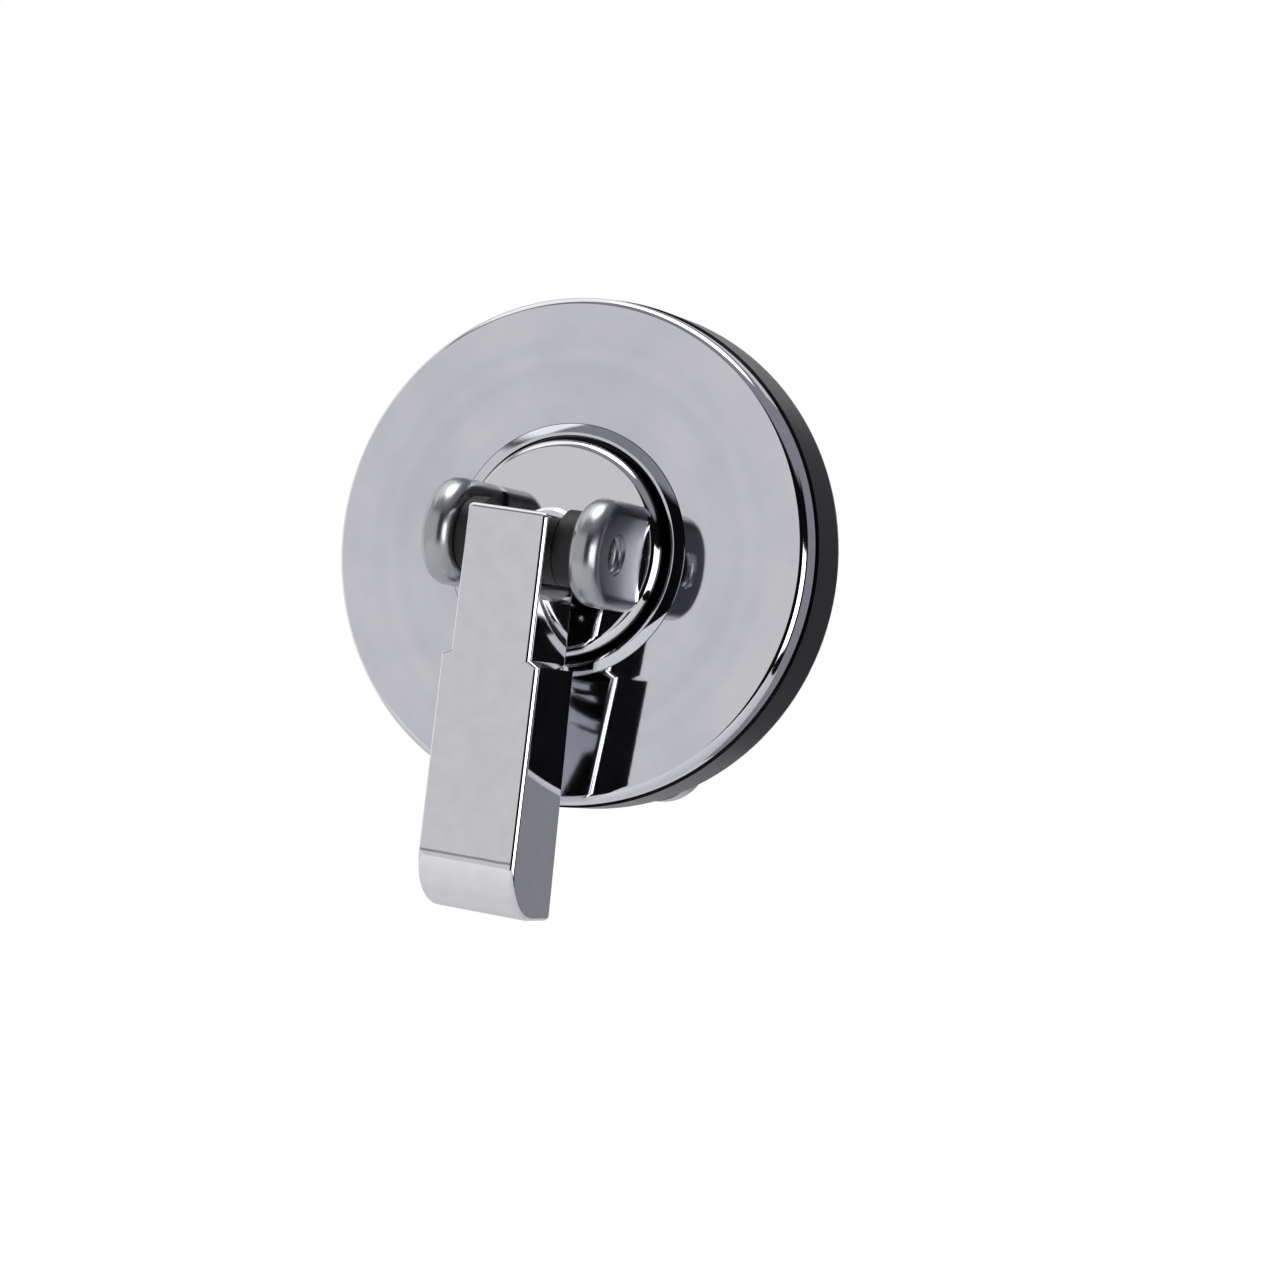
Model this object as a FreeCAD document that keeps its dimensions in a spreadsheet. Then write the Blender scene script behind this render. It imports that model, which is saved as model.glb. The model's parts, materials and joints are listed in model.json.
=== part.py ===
import FreeCAD, Part
import math
import os
import Sketcher

# Twist lock clasp with a folding lever, in millimetres.
# The panel's front face is the plane Y = 0. The clasp's front looks to -Y, +Z is up,
# and the lever hangs down. The origin is where the barrel's axis meets the panel.

Vector = FreeCAD.Vector
doc = FreeCAD.newDocument("TwistLockClasp")

# Driving sizes
driving = {
    # rose plate and its collar
    "rose_radius": 25.0,
    "rose_depth": 3.0,
    "rose_edge_radius": 0.9,
    "rose_rear_chamfer": 0.3,
    "collar_gap": 0.5,
    "collar_flat": 0.35,
    "collar_bevel": 0.95,
    "collar_height": 0.55,
    # gasket
    "gasket_depth": 7.2,
    "gasket_overhang": 0.2,
    "gasket_edge_radius": 1.8,
    "gasket_land": 3.0,
    "gasket_groove_depth": 1.0,
    "gasket_clearance": 0.5,
    # hub
    "hub_radius": 10.7,
    "hub_height": 2.5,
    "hub_edge_radius": 1.0,
    "spigot_radius": 8.04,
    "running_gap": 0.06,
    "axial_play": 0.03,
    "washer_depth": 0.5,
    # ears and hinge pin
    "ear_radius": 5.25,
    "ear_depth": 3.2,
    "ear_gap": 12.3,
    "ear_edge_radius": 1.45,
    "ear_root_depth": 0.8,
    "pin_height": 9.3,
    "pin_radius": 2.0,
    "pin_seat_gap": 0.02,
    "pin_recess": 0.5,
    "pin_chamfer": 0.3,
    # lever
    "head_width": 8.4,
    "lever_width": 10.3,
    "head_top": 2.9,
    "front_reach": 5.9,
    "crease_drop": 30.5,
    "crease_reach": 2.9,
    "tip_radius": 6.0,
    "cam_radius": 4.2,
    "cam_foot_drop": 3.0,
    "tip_back_reach": 7.7,
    "ledge_drop": 11.1,
    "ledge_slope": 0.5,
    "lever_edge_radius": 0.55,
    "bush_wall": 0.8,
    "side_washer_radius": 3.7,
    "side_gap": 0.05,
    # barrel, behind the plate
    "barrel_radius": 11.0,
    "barrel_length": 19.0,
    "barrel_flange_radius": 14.5,
    "barrel_flange_depth": 1.4,
    "register_length": 2.8,
    "thread_drop": 0.2,
    "flat_distance": 10.5,
    "seat_gap": 0.05,
    # panel clamp
    "panel_depth": 3.0,
    "panel_washer_radius": 16.0,
    "panel_washer_depth": 1.0,
    "lock_nut_wall": 2.5,
    "lock_nut_depth": 5.0,
    # turn stop
    "friction_depth": 0.9,
    "stop_wall_clear": 0.2,
    "stop_wall": 1.6,
    "stop_gap": 0.25,
    "quarter_turn": 90.0,
    "tab_angle": 28.0,
    "stop_slack": 1.0,
    "stop_disc_depth": 1.2,
    "tab_reach": 0.1,
    # spindle and what sits on it
    "square_width": 7.0,
    "square_gap": 0.05,
    "socket_depth": 12.0,
    "stud_radius": 3.0,
    "stud_length": 8.4,
    "screw_head_radius": 3.8,
    "screw_head_height": 2.2,
    "screw_radius": 1.95,
    "screw_length": 26.0,
    "screw_gap": 0.1,
    "screw_socket_width": 2.5,
    "screw_socket_depth": 1.2,
    "seal_radius": 0.55,
    "seal_gap": 0.04,
    "seal_groove_width": 1.5,
    "seal_setback": 8.0,
    # pawl
    "pawl_depth": 2.5,
    "pawl_width": 14.0,
    "pawl_hub_radius": 9.0,
    "pawl_length": 24.0,
    "pawl_crank": 5.0,
    "crank_start": 12.0,
    "crank_end": 16.5,
    "pawl_tip_radius": 5.0,
    "pawl_end_flat": 0.6,
    "pawl_washer_radius": 7.0,
    "pawl_washer_depth": 1.0,
    "lock_washer_radius": 5.4,
    "lock_washer_depth": 1.4,
    "lock_washer_split": 0.8,
    "pawl_nut_width": 10.0,
    "pawl_nut_depth": 4.6,
}

sheet = doc.addObject("Spreadsheet::Sheet", "Sizes")
for row, (name, value) in enumerate(driving.items(), start=1):
    sheet.set("A%d" % row, name)
    sheet.set("B%d" % row, str(value))
    sheet.setAlias("B%d" % row, name)
doc.recompute()


def ref(text):
    # Writes an expression in plain size names as one that reads the sheet.
    words = []
    word = ""
    for char in text + " ":
        if char.isalnum() or char == "_":
            word += char
        else:
            words.append("Sizes." + word if word in driving else word)
            words.append(char)
            word = ""
    return "".join(words).strip()


def value_of(text):
    return float(sheet.evalExpression(ref(text)))


# Planes and radii that several pieces share, as expressions of the driving sizes
FACE = "(-gasket_depth - rose_depth)"
HUB_REAR = "(-gasket_depth - rose_depth - washer_depth - axial_play)"
HUB_FRONT = "(-gasket_depth - rose_depth - hub_height)"
PIN_LINE = "(-gasket_depth - rose_depth - pin_height)"
FLANGE_FRONT = "(-gasket_depth - barrel_flange_depth)"
BORE = "(spigot_radius + running_gap)"
ROSE_BORE = "(spigot_radius + gasket_clearance)"
THREAD = "(barrel_radius - thread_drop)"
STOP_WALL_INNER = "(barrel_radius - thread_drop - stop_wall)"
STOP_WALL_END = "(barrel_length + friction_depth + stop_disc_depth - stop_wall_clear)"
SPIGOT_END = "(barrel_length + friction_depth)"
PAWL_SEAT = "(barrel_length + friction_depth + stop_disc_depth)"
PAWL_REAR = "(barrel_length + friction_depth + stop_disc_depth + pawl_depth)"
NUT_SEAT = "(panel_depth + panel_washer_depth)"
LOCK_NUT_WIDTH = "(2 * barrel_radius + 2 * lock_nut_wall)"
SQUARE_HALF = "(square_width / 2)"
SQUARE_HOLE_HALF = "(square_width / 2 + square_gap)"
EAR_SIDE = "(ear_gap / 2 + ear_depth)"
PIN_SEAT = "(pin_radius + pin_seat_gap)"
BUSH_BORE = "(pin_radius + running_gap)"
BUSH_OUTER = "(pin_radius + running_gap + bush_wall)"
EYE = "(pin_radius + running_gap + bush_wall + pin_seat_gap)"
SIDE_WASHER_DEPTH = "((ear_gap - head_width) / 2 - 2 * side_gap)"
SEAL_CENTRE = "(spigot_radius + running_gap - seal_gap - seal_radius)"
SEAL_FLOOR = "(spigot_radius + running_gap - 2 * seal_gap - 2 * seal_radius)"
SEAL_START = "(-gasket_depth - rose_depth + seal_setback)"
STOP_CENTRE = "-90"
PAST = 1.0    # how far a cutting outline reaches past what it cuts
HEX_CORNER = 1 / math.cos(math.radians(30))
HEX_RISE = math.tan(math.radians(30))


# Modelling helpers

def new_body(label, seat="0"):
    made = doc.addObject("PartDesign::Body", label)
    made.Label = label
    if seat != "0":
        made.setExpression("Placement.Base.y", ref(seat))
    return made


def new_sketch(made, role, name, offset=None, turn=None):
    sketch = made.newObject("Sketcher::SketchObject", name)
    support = [item for item in made.Origin.OriginFeatures if item.Role == role][0]
    sketch.AttachmentSupport = [(support, "")]
    sketch.MapMode = "FlatFace"
    if turn is not None:
        sketch.AttachmentOffset = FreeCAD.Placement(Vector(), FreeCAD.Rotation(Vector(0, 1, 0), turn))
    if offset is not None:
        sketch.setExpression("AttachmentOffset.Base.z", ref(offset))
    return sketch


def hold(sketch, line, end, place):
    # Ties one end of a sketch element to its two coordinates.
    for kind, axis, text in (("DistanceX", -2, place[0]), ("DistanceY", -1, place[1])):
        if text == "0":
            sketch.addConstraint(Sketcher.Constraint("PointOnObject", line, end, axis))
        else:
            number = sketch.addConstraint(Sketcher.Constraint(kind, -1, 1, line, end, value_of(text)))
            sketch.setExpression("Constraints[%d]" % number, ref(text))


def point(place):
    return Vector(value_of(place[0]), value_of(place[1]), 0)


def outline(sketch, corners, rounded_side=None):
    # Closed outline of straight lines through the corners. One side may be a quarter round; its
    # centre is level with the side's end, straight above its start.
    first = sketch.GeometryCount
    count = len(corners)
    for number in range(count):
        start = point(corners[number])
        end = point(corners[(number + 1) % count])
        if number == rounded_side:
            middle = Vector(start.x, end.y, 0)
            bend = Part.Circle(middle, Vector(0, 0, 1), (end - middle).Length)
            sketch.addGeometry(Part.ArcOfCircle(bend, math.radians(-90), 0))
        else:
            sketch.addGeometry(Part.LineSegment(start, end))
    for number in range(count):
        following = first + (number + 1) % count
        sketch.addConstraint(Sketcher.Constraint("Coincident", first + number, 2, following, 1))
    for number in range(count):
        hold(sketch, first + number, 1, corners[number])
    if rounded_side is not None:
        sketch.addConstraint(Sketcher.Constraint("Vertical", first + rounded_side, 3,
                                                 first + rounded_side, 1))


def circle(sketch, radius, place=("0", "0")):
    disc = Part.Circle(point(place), Vector(0, 0, 1), value_of(radius))
    line = sketch.addGeometry(disc)
    hold(sketch, line, 3, place)
    number = sketch.addConstraint(Sketcher.Constraint("Radius", line, value_of(radius)))
    sketch.setExpression("Constraints[%d]" % number, ref(radius))


def rectangle(sketch, low, high):
    outline(sketch, [low, (high[0], low[1]), high, (low[0], high[1])])


def square(sketch, half):
    rectangle(sketch, ("-" + half, "-" + half), (half, half))


def hexagon(sketch, width):
    # Hexagon with two flats square to the sketch's vertical.
    half = "(%s / 2)" % width
    corner = "(%s * %.9f)" % (half, HEX_CORNER)
    rise = "(%s * %.9f)" % (half, HEX_RISE)
    outline(sketch, [
        (corner, "0"), (rise, half), ("-" + rise, half),
        ("-" + corner, "0"), ("-" + rise, "-" + half), (rise, "-" + half),
    ])


def feature(made, kind, name, sketch, **settings):
    result = made.newObject("PartDesign::" + kind, name)
    result.Profile = sketch
    for key, setting in settings.items():
        if isinstance(setting, str) and key in ("Length", "Angle"):
            result.setExpression(key, ref(setting))
        else:
            setattr(result, key, setting)
    return result


def turned(made, name, corners):
    # Full turn of an outline about the barrel's axis: x is the radius, y runs into the panel.
    sketch = new_sketch(made, "XY_Plane", name + "_profile")
    outline(sketch, corners)
    return feature(made, "Revolution", name, sketch, ReferenceAxis=(sketch, ["V_Axis"]), Angle=360)


def ring(label, seat, inner, outer, depth):
    made = new_body(label, seat)
    turned(made, label + "_ring", [(inner, "0"), (outer, "0"), (outer, depth), (inner, depth)])
    return made


def edges_where(shape, test):
    return ["Edge%d" % number for number, edge in enumerate(shape.Edges, start=1) if test(edge)]


def dress(made, kind, name, test, size):
    # Fillet or chamfer on the edges of the body's last feature that pass the test.
    doc.recompute()
    base = made.Tip
    names = edges_where(base.Shape, test)
    if not names:
        raise RuntimeError("no edges for " + name)
    result = made.newObject("PartDesign::" + kind, name)
    result.Base = (base, names)
    result.setExpression("Radius" if kind == "Fillet" else "Size", ref(size))
    return result


def near(first, second):
    return abs(first - second) < 0.001


def box_of(edge):
    return edge.BoundBox


def is_rim(radius, height):
    # Test for the full circle of this radius at this height along the barrel's axis.
    def test(edge):
        box = box_of(edge)
        flat = near(box.YMin, value_of(height)) and near(box.YMax, value_of(height))
        return flat and near(box.XMax, value_of(radius)) and near(box.ZMax, value_of(radius))
    return test


# Rose plate: turned disc with a low bevelled collar round the hub
def make_rose_plate():
    made = new_body("rose_plate", FACE)
    collar = "(hub_radius + collar_gap)"
    collar_top = "(hub_radius + collar_gap + collar_flat)"
    collar_foot = "(hub_radius + collar_gap + collar_flat + collar_bevel)"
    recess = "(barrel_flange_radius + seat_gap)"
    recess_floor = "(rose_depth - barrel_flange_depth)"
    turned(made, "rose_disc", [
        (ROSE_BORE, "0"), (collar, "0"), (collar, "-collar_height"), (collar_top, "-collar_height"),
        (collar_foot, "0"), ("rose_radius", "0"), ("rose_radius", "rose_depth"),
        (recess, "rose_depth"), (recess, recess_floor), (ROSE_BORE, recess_floor),
    ])
    dress(made, "Fillet", "rose_front_edge", is_rim("rose_radius", "0"), "rose_edge_radius")
    dress(made, "Chamfer", "rose_rear_edge", is_rim("rose_radius", "rose_depth"), "rose_rear_chamfer")
    return made


# Gasket: moulded ring with two sealing lands on its rear face
def make_gasket():
    made = new_body("gasket", "-gasket_depth")
    inner = "(barrel_radius + gasket_clearance)"
    outer = "(rose_radius + gasket_overhang)"
    inner_land = "(barrel_radius + gasket_clearance + gasket_land)"
    outer_land = "(rose_radius + gasket_overhang - gasket_edge_radius - gasket_land)"
    floor = "(gasket_depth - gasket_groove_depth)"
    turned(made, "gasket_ring", [
        (inner, "0"), (outer, "0"), (outer, "gasket_depth"), (outer_land, "gasket_depth"),
        (outer_land, floor), (inner_land, floor), (inner_land, "gasket_depth"), (inner, "gasket_depth"),
    ])
    rim = is_rim("(rose_radius + gasket_overhang)", "gasket_depth")
    dress(made, "Fillet", "gasket_rear_edge", rim, "gasket_edge_radius")
    return made


# Barrel: flanged body tube with a plain register for the panel, a thread with two flats
# and a stop wall at its rear end
def make_barrel():
    made = new_body("barrel")
    neck = "(barrel_radius - gasket_clearance)"
    turned(made, "barrel_tube", [
        (BORE, FLANGE_FRONT), ("barrel_flange_radius", FLANGE_FRONT),
        ("barrel_flange_radius", "-gasket_depth"), (neck, "-gasket_depth"), (neck, "0"),
        ("barrel_radius", "0"), ("barrel_radius", "register_length"), (THREAD, "register_length"),
        (THREAD, STOP_WALL_END), (STOP_WALL_INNER, STOP_WALL_END), (STOP_WALL_INNER, "barrel_length"),
        (BORE, "barrel_length"),
    ])
    flats = new_sketch(made, "XZ_Plane", "barrel_flats_profile")
    beyond = "(barrel_radius + %g)" % PAST
    rectangle(flats, ("flat_distance", "-" + beyond), (beyond, beyond))
    rectangle(flats, ("-" + beyond, "-" + beyond), ("-flat_distance", beyond))
    feature(made, "Pocket", "barrel_flats", flats, Type="ThroughAll")
    gap = new_sketch(made, "XY_Plane", "stop_opening_profile", turn=value_of(STOP_CENTRE))
    rectangle(gap, ("(%s - %g)" % (STOP_WALL_INNER, PAST), "barrel_length"),
              (beyond, "(%s + %g)" % (STOP_WALL_END, PAST)))
    feature(made, "Groove", "stop_opening", gap, ReferenceAxis=(gap, ["V_Axis"]), Midplane=True,
            Angle="quarter_turn + tab_angle + 2 * stop_slack")
    return made


# Turning hub: flange, spigot and two ears in one casting
def make_turning_hub():
    made = new_body("turning_hub")
    lug = new_sketch(made, "YZ_Plane", "ear_profile")
    root = "(-gasket_depth - rose_depth - hub_height + ear_root_depth)"
    foot_low = (root, "-ear_radius")
    foot_high = (root, "ear_radius")
    low = (PIN_LINE, "-ear_radius")
    high = (PIN_LINE, "ear_radius")
    lug.addGeometry(Part.LineSegment(point(high), point(foot_high)))
    lug.addGeometry(Part.LineSegment(point(foot_high), point(foot_low)))
    lug.addGeometry(Part.LineSegment(point(foot_low), point(low)))
    centre = point((PIN_LINE, "0"))
    round_end = Part.Circle(centre, Vector(0, 0, 1), value_of("ear_radius"))
    lug.addGeometry(Part.ArcOfCircle(round_end, math.radians(90), math.radians(270)))
    lug.addConstraint(Sketcher.Constraint("Coincident", 0, 2, 1, 1))
    lug.addConstraint(Sketcher.Constraint("Coincident", 1, 2, 2, 1))
    lug.addConstraint(Sketcher.Constraint("Coincident", 3, 1, 0, 1))
    lug.addConstraint(Sketcher.Constraint("Coincident", 3, 2, 2, 2))
    hold(lug, 0, 1, high)
    hold(lug, 1, 1, foot_high)
    hold(lug, 2, 1, foot_low)
    hold(lug, 2, 2, low)
    number = lug.addConstraint(Sketcher.Constraint("DistanceX", -1, 1, 3, 3, centre.x))
    lug.setExpression("Constraints[%d]" % number, ref(PIN_LINE))
    feature(made, "Pad", "ear_block", lug, Midplane=True, Length="ear_gap + 2 * ear_depth")

    between = new_sketch(made, "YZ_Plane", "ear_gap_profile")
    reach = "(-gasket_depth - rose_depth - pin_height - ear_radius - %g)" % PAST
    side = "(ear_radius + %g)" % PAST
    rectangle(between, (reach, "-" + side), (HUB_FRONT, side))
    feature(made, "Pocket", "ear_opening", between, Midplane=True, Length="ear_gap")

    def ear_edge(edge):
        # The outline of each ear, on its inner and outer side.
        box = box_of(edge)
        sides = (value_of("ear_gap / 2"), value_of(EAR_SIDE))
        on_side = near(box.XMin, box.XMax) and any(near(abs(box.XMin), side) for side in sides)
        return on_side and not near(box.YMin, box.YMax)
    dress(made, "Fillet", "ear_rounding", ear_edge, "ear_edge_radius")

    screw_hole = "(screw_radius + screw_gap)"
    rounded = "(hub_radius - hub_edge_radius)"
    seal_end = "(-gasket_depth - rose_depth + seal_setback + seal_groove_width)"
    profile = new_sketch(made, "XY_Plane", "hub_turning_profile")
    outline(profile, [
        (rounded, HUB_FRONT), ("hub_radius", "(%s + hub_edge_radius)" % HUB_FRONT),
        ("hub_radius", HUB_REAR), ("spigot_radius", HUB_REAR), ("spigot_radius", SEAL_START),
        (SEAL_FLOOR, SEAL_START), (SEAL_FLOOR, seal_end), ("spigot_radius", seal_end),
        ("spigot_radius", SPIGOT_END), (screw_hole, SPIGOT_END), (screw_hole, HUB_FRONT),
    ], rounded_side=0)
    feature(made, "Revolution", "hub_turning", profile, ReferenceAxis=(profile, ["V_Axis"]), Angle=360)

    centre_hole = new_sketch(made, "XZ_Plane", "screw_hole_profile")
    circle(centre_hole, screw_hole)
    feature(made, "Pocket", "screw_hole", centre_hole, Type="ThroughAll", Midplane=True)
    socket = new_sketch(made, "XZ_Plane", "socket_profile", offset="-1 * " + SPIGOT_END)
    square(socket, SQUARE_HOLE_HALF)
    feature(made, "Pocket", "socket", socket, Length="socket_depth", Reversed=True)
    eye = new_sketch(made, "YZ_Plane", "pin_hole_profile")
    circle(eye, PIN_SEAT, (PIN_LINE, "0"))
    feature(made, "Pocket", "pin_hole", eye, Midplane=True, Length="ear_gap + 3 * ear_depth")
    return made


# Hinge pin: straight pin with broken ends, just short of the ears' outer sides
def make_hinge_pin():
    made = new_body("hinge_pin", PIN_LINE)
    section = new_sketch(made, "YZ_Plane", "pin_section")
    circle(section, "pin_radius")
    feature(made, "Pad", "pin_rod", section, Midplane=True,
            Length="ear_gap + 2 * ear_depth - 2 * pin_recess")
    dress(made, "Chamfer", "pin_ends", lambda edge: near(box_of(edge).XMin, box_of(edge).XMax),
          "pin_chamfer")
    return made


# Side washers: flat rings that fill the gaps between the lever's head and the ears
def make_side_washer(label, side):
    made = new_body(label, PIN_LINE)
    middle = "(%d * (ear_gap + head_width) / 4)" % side
    made.setExpression("Placement.Base.x", ref(middle))
    section = new_sketch(made, "YZ_Plane", label + "_section")
    circle(section, "side_washer_radius")
    circle(section, "(pin_radius + side_gap)")
    feature(made, "Pad", label + "_ring", section, Midplane=True, Length=SIDE_WASHER_DEPTH)
    return made


# Lever: bar with a round-backed head, a ledge on each side and a rounded tip
def make_lever():
    made = new_body("lever", PIN_LINE)
    side = new_sketch(made, "YZ_Plane", "lever_profile")
    top_front = ("-front_reach", "head_top")
    crease = ("-crease_reach", "-crease_drop")
    run = value_of("front_reach - crease_reach")
    drop = value_of("head_top + crease_drop")
    slant = math.atan2(run, drop)
    radius = value_of("tip_radius")
    tip_centre = point(crease) + Vector(math.cos(slant), math.sin(slant), 0) * radius
    bottom = tip_centre - Vector(0, radius, 0)
    back_low = Vector(value_of("tip_back_reach"), bottom.y, 0)
    cam = value_of("cam_radius")
    foot_angle = -math.asin(value_of("cam_foot_drop") / cam)
    top_angle = math.asin(value_of("head_top") / cam)
    foot = Vector(cam * math.cos(foot_angle), cam * math.sin(foot_angle), 0)
    top_back = Vector(cam * math.cos(top_angle), cam * math.sin(top_angle), 0)
    tip_circle = Part.Circle(tip_centre, Vector(0, 0, 1), radius)
    cam_circle = Part.Circle(Vector(), Vector(0, 0, 1), cam)
    side.addGeometry(Part.LineSegment(point(top_front), point(crease)))
    side.addGeometry(Part.ArcOfCircle(tip_circle, math.pi + slant, 1.5 * math.pi))
    side.addGeometry(Part.LineSegment(bottom, back_low))
    side.addGeometry(Part.LineSegment(back_low, foot))
    side.addGeometry(Part.ArcOfCircle(cam_circle, foot_angle, top_angle))
    side.addGeometry(Part.LineSegment(top_back, point(top_front)))
    side.addConstraint(Sketcher.Constraint("Tangent", 0, 2, 1, 1))
    for first, second in ((1, 2), (2, 3), (3, 4), (4, 5), (5, 0)):
        side.addConstraint(Sketcher.Constraint("Coincident", first, 2, second, 1))
    hold(side, 0, 1, top_front)
    hold(side, 0, 2, crease)
    for line, size in ((1, "tip_radius"), (4, "cam_radius")):
        number = side.addConstraint(Sketcher.Constraint("Radius", line, value_of(size)))
        side.setExpression("Constraints[%d]" % number, ref(size))
    side.addConstraint(Sketcher.Constraint("Vertical", 1, 3, 1, 2))
    side.addConstraint(Sketcher.Constraint("Horizontal", 2))
    side.addConstraint(Sketcher.Constraint("Horizontal", 5))
    side.addConstraint(Sketcher.Constraint("Coincident", 4, 3, -1, 1))
    number = side.addConstraint(Sketcher.Constraint("DistanceX", -1, 1, 2, 2, back_low.x))
    side.setExpression("Constraints[%d]" % number, ref("tip_back_reach"))
    number = side.addConstraint(Sketcher.Constraint("DistanceY", -1, 1, 3, 2, foot.y))
    side.setExpression("Constraints[%d]" % number, ref("-cam_foot_drop"))
    feature(made, "Pad", "lever_bar", side, Midplane=True, Length="lever_width")

    waist = new_sketch(made, "XZ_Plane", "head_sides_profile")
    half = "(head_width / 2)"
    outside = "(lever_width / 2 + %g)" % PAST
    above = "(cam_radius + %g)" % PAST
    ledge_foot = "-(ledge_drop + ledge_slope)"
    outline(waist, [(half, above), (half, "-ledge_drop"), ("(lever_width / 2)", ledge_foot),
                    (outside, ledge_foot), (outside, above)])
    outline(waist, [("-" + half, above), ("-" + half, "-ledge_drop"), ("-(lever_width / 2)", ledge_foot),
                    ("-" + outside, ledge_foot), ("-" + outside, above)])
    feature(made, "Pocket", "head_sides", waist, Midplane=True,
            Length="4 * (front_reach + tip_back_reach)")

    def lever_edge(edge):
        # Every outer edge, but not the ledges' level lines or the two lines where the tip's
        # round runs smoothly into the flat faces.
        box = box_of(edge)
        level = near(box.ZMin, box.ZMax)
        ledge = level and -value_of("crease_drop") - 0.01 < box.ZMin < -value_of("cam_foot_drop") - 0.01
        smooth = level and near(box.YMin, bottom.x) and near(box.YMax, bottom.x)
        return not ledge and not smooth
    dress(made, "Fillet", "lever_edges", lever_edge, "lever_edge_radius")

    eye = new_sketch(made, "YZ_Plane", "lever_eye_profile")
    circle(eye, EYE)
    feature(made, "Pocket", "lever_eye", eye, Midplane=True, Length="2 * lever_width")
    return made


# Lever bush: thin bearing sleeve in the lever's eye
def make_lever_bush():
    made = new_body("lever_bush", PIN_LINE)
    section = new_sketch(made, "YZ_Plane", "bush_section")
    circle(section, BUSH_OUTER)
    circle(section, BUSH_BORE)
    feature(made, "Pad", "bush_sleeve", section, Midplane=True, Length="head_width")
    return made


# Hexagon nut with its corners turned down at both ends
def make_nut(label, seat, width, depth, bore):
    made = new_body(label, seat)
    section = new_sketch(made, "XZ_Plane", label + "_section")
    hexagon(section, width)
    circle(section, bore)
    feature(made, "Pad", label + "_block", section, Length=depth, Reversed=True)
    corner = "(%s / 2 * %.9f)" % (width, HEX_CORNER)
    flat = "(%s / 2)" % width
    drop = "((%s - %s) / 2)" % (corner, flat)
    outside = "(%s + %g)" % (corner, PAST)
    cuts = new_sketch(made, "XY_Plane", label + "_corners_profile")
    outline(cuts, [(flat, "-%g" % PAST), (flat, "0"), (corner, drop), (outside, drop),
                   (outside, "-%g" % PAST)])
    outline(cuts, [(flat, "%s + %g" % (depth, PAST)), (flat, depth), (corner, "%s - %s" % (depth, drop)),
                   (outside, "%s - %s" % (depth, drop)), (outside, "%s + %g" % (depth, PAST))])
    feature(made, "Groove", label + "_corners", cuts, ReferenceAxis=(cuts, ["V_Axis"]), Angle=360)
    return made


# Seal: round rubber ring in the hub's groove
def make_spigot_seal():
    made = new_body("spigot_seal", SEAL_START + " + seal_groove_width / 2")
    section = new_sketch(made, "XY_Plane", "seal_section")
    circle(section, "seal_radius", (SEAL_CENTRE, "0"))
    feature(made, "Revolution", "seal_ring", section, ReferenceAxis=(section, ["V_Axis"]), Angle=360)
    return made


# Stop disc: square-holed disc with one tab that runs between the ends of the barrel's stop wall
def make_stop_disc():
    made = new_body("stop_disc", SPIGOT_END)
    section = new_sketch(made, "XZ_Plane", "stop_disc_section")
    circle(section, STOP_WALL_INNER + " - stop_gap")
    feature(made, "Pad", "stop_plate", section, Length="stop_disc_depth", Reversed=True)
    first_stop = value_of(STOP_CENTRE + " + quarter_turn / 2")
    tab = new_sketch(made, "XY_Plane", "tab_profile", turn=first_stop)
    tab_end = THREAD + " + tab_reach"
    rectangle(tab, ("(%s - %g)" % (STOP_WALL_INNER, PAST), "0"), (tab_end, "stop_disc_depth"))
    feature(made, "Revolution", "stop_tab", tab, ReferenceAxis=(tab, ["V_Axis"]), Midplane=True,
            Angle="tab_angle")
    hole = new_sketch(made, "XZ_Plane", "stop_hole_profile")
    square(hole, SQUARE_HOLE_HALF)
    feature(made, "Pocket", "stop_hole", hole, Type="ThroughAll")
    return made


# Spindle: square bar with a threaded stud behind and a tapped hole in front
def make_spindle():
    start = SPIGOT_END + " - socket_depth + square_gap"
    made = new_body("spindle", start)
    bar = new_sketch(made, "XZ_Plane", "bar_section")
    square(bar, SQUARE_HALF)
    bar_length = "(socket_depth - square_gap + stop_disc_depth + pawl_depth - square_gap)"
    feature(made, "Pad", "square_bar", bar, Length=bar_length, Reversed=True)
    stud = new_sketch(made, "XZ_Plane", "stud_section", offset="-1 * " + bar_length)
    circle(stud, "stud_radius")
    feature(made, "Pad", "stud", stud, Length="stud_length + square_gap", Reversed=True)
    tapped = new_sketch(made, "XZ_Plane", "tapped_hole_profile")
    circle(tapped, "(screw_radius + seat_gap)")
    feature(made, "Pocket", "tapped_hole", tapped, Length="(socket_depth - stop_disc_depth)")
    return made


# Spindle screw: cylinder-head screw through the hub into the spindle
def make_spindle_screw():
    made = new_body("spindle_screw", HUB_FRONT)
    turned(made, "screw_turning", [
        ("0", "-screw_head_height"), ("screw_head_radius", "-screw_head_height"),
        ("screw_head_radius", "0"), ("screw_radius", "0"), ("screw_radius", "screw_length"),
        ("0", "screw_length"),
    ])
    head_rim = is_rim("screw_head_radius", "-screw_head_height")
    dress(made, "Chamfer", "screw_head_edge", head_rim, "pin_chamfer")
    drive = new_sketch(made, "XZ_Plane", "screw_socket_profile", offset="screw_head_height")
    hexagon(drive, "screw_socket_width")
    feature(made, "Pocket", "screw_socket", drive, Length="screw_socket_depth")
    return made


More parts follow.
